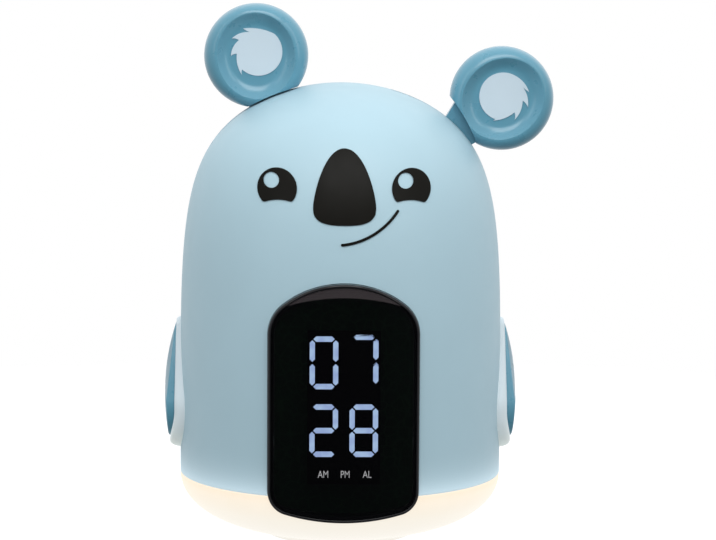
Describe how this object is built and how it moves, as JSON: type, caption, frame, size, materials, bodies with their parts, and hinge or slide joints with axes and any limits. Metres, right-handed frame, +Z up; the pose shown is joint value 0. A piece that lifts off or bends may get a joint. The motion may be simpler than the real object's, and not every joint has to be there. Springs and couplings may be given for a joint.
{
  "type": "kids alarm clock with night light",
  "caption": "Dome-bodied koala alarm clock with tilting round ears, press-button arms, a tall digital display and a translucent lamp bowl that it stands on.",
  "frame": {"origin": "on the table under the body's axis, in the plane of the rubber foot's underside", "axes": "+Z up along the body's axis, -Y out of the face and display, +X towards the open ear, to the right seen from the front"},
  "size_m": [0.1459, 0.1235, 0.2001],
  "materials": {
    "shell_blue": "satin moulded ABS, pale grey-blue",
    "ear_blue": "satin moulded ABS, mid blue",
    "patch_blue": "satin moulded ABS, pale blue",
    "ring_white": "satin moulded ABS, blue-white",
    "lamp_bowl": "frosted translucent polycarbonate, lit warm white",
    "panel_black": "gloss black moulded ABS",
    "lens_smoke": "smoked clear acrylic",
    "mask_black": "matt black moulded",
    "segment_lit": "light guide, lit cool white",
    "segment_dark": "light guide, not lit",
    "mark_grey": "light guide, dim",
    "foot_rubber": "moulded rubber",
    "inner_white": "plain moulded ABS",
    "board_green": "fibreglass circuit board",
    "board_white": "white solder mask",
    "chip_black": "moulded epoxy",
    "led_yellow": "phosphor in silicone",
    "cable_grey": "PVC flat cable",
    "wire_red": "PVC wire sleeve",
    "speaker_black": "stamped frame, painted black",
    "cone_black": "doped paper",
    "magnet_steel": "plated steel pot",
    "cell_jacket": "foil jacket over a steel can",
    "contact_plate": "nickel-plated brass",
    "screw_steel": "zinc-plated steel",
    "pin_steel": "ground steel pin",
    "socket_steel": "stamped tinned shell",
    "control_blue": "satin moulded ABS",
    "key_white": "satin moulded ABS",
    "switch_dark": "moulded nylon and steel",
    "print_black": "pad-printed black lacquer"
  },
  "bodies": {
    "housing": {"front_shell": "shell_blue", "rear_shell": "shell_blue", "light_base": "lamp_bowl", "base_chassis": "inner_white", "chassis_screws": "screw_steel", "led_ring_board": "board_white", "night_leds": "led_yellow", "rubber_foot": "foot_rubber", "base_screws": "screw_steel", "housing_screws": "screw_steel", "display_housing": "panel_black", "display_lens": "lens_smoke", "segment_mask": "mask_black", "hour_tens_digit": "segment_lit", "hour_units_digit": "segment_lit", "minute_tens_digit": "segment_lit", "minute_units_digit": "segment_lit", "unlit_segments": "segment_dark", "indicator_windows": "mark_grey", "display_board": "board_green", "ribbon_cables": "cable_grey", "main_board": "board_green", "board_chips": "chip_black", "key_switches": "switch_dark", "speaker_frame": "speaker_black", "speaker_cone": "cone_black", "speaker_magnet": "magnet_steel", "speaker_wires": "wire_red", "battery_box": "inner_white", "batteries": "cell_jacket", "battery_contacts": "contact_plate", "power_socket": "socket_steel", "control_panel": "control_blue", "left_ear_pin": "pin_steel", "right_ear_pin": "pin_steel", "ear_switches": "switch_dark", "left_arm_ring": "ring_white", "right_arm_ring": "ring_white", "arm_switch_boards": "board_green", "nose": "print_black", "eyes": "print_black", "smile": "print_black"},
    "left_ear": {"left_ear_front": "ear_blue", "left_ear_back": "ear_blue", "left_ear_patch": "patch_blue", "left_ear_arm": "ear_blue"},
    "right_ear": {"right_ear_front": "ear_blue", "right_ear_back": "ear_blue", "right_ear_patch": "patch_blue", "right_ear_arm": "ear_blue"},
    "left_arm": {"left_arm_button": "ear_blue"},
    "right_arm": {"right_arm_button": "ear_blue"},
    "plus_key": {"plus_button": "key_white"},
    "minus_key": {"minus_button": "key_white"},
    "clock_key": {"clock_button": "key_white"},
    "alarm_key": {"alarm_button": "key_white"},
    "volume_key": {"volume_button": "key_white"},
    "battery_cover": {"battery_door": "shell_blue", "battery_door_screw": "screw_steel"}
  },
  "joints": [
    {"name": "left_ear_tilt", "type": "hinge", "parent": "housing", "child": "left_ear", "pos_m": [-0.0236, 0, 0.1326], "axis": [0, -1, 0], "range_deg": [0, 38.4]},
    {"name": "right_ear_tilt", "type": "hinge", "parent": "housing", "child": "right_ear", "pos_m": [0.0236, 0, 0.1326], "axis": [0, 1, 0], "range_deg": [-38.4, 0]},
    {"name": "left_arm_press", "type": "slide", "parent": "housing", "child": "left_arm", "axis": [1, 0, 0], "range_m": [0, 0.0012], "stiffness_N_per_m": 900},
    {"name": "right_arm_press", "type": "slide", "parent": "housing", "child": "right_arm", "axis": [-1, 0, 0], "range_m": [0, 0.0012], "stiffness_N_per_m": 900},
    {"name": "plus_key_press", "type": "slide", "parent": "housing", "child": "plus_key", "axis": [0, -1, 0], "range_m": [0, 0.0008], "stiffness_N_per_m": 700},
    {"name": "minus_key_press", "type": "slide", "parent": "housing", "child": "minus_key", "axis": [0, -1, 0], "range_m": [0, 0.0008], "stiffness_N_per_m": 700},
    {"name": "clock_key_press", "type": "slide", "parent": "housing", "child": "clock_key", "axis": [0, -1, 0], "range_m": [0, 0.0008], "stiffness_N_per_m": 700},
    {"name": "alarm_key_press", "type": "slide", "parent": "housing", "child": "alarm_key", "axis": [0, -1, 0], "range_m": [0, 0.0008], "stiffness_N_per_m": 700},
    {"name": "volume_key_press", "type": "slide", "parent": "housing", "child": "volume_key", "axis": [0, -1, 0], "range_m": [0, 0.0008], "stiffness_N_per_m": 700},
    {"name": "battery_cover_off", "type": "slide", "parent": "housing", "child": "battery_cover", "axis": [0, 1, 0], "range_m": [0, 0.03]}
  ]
}
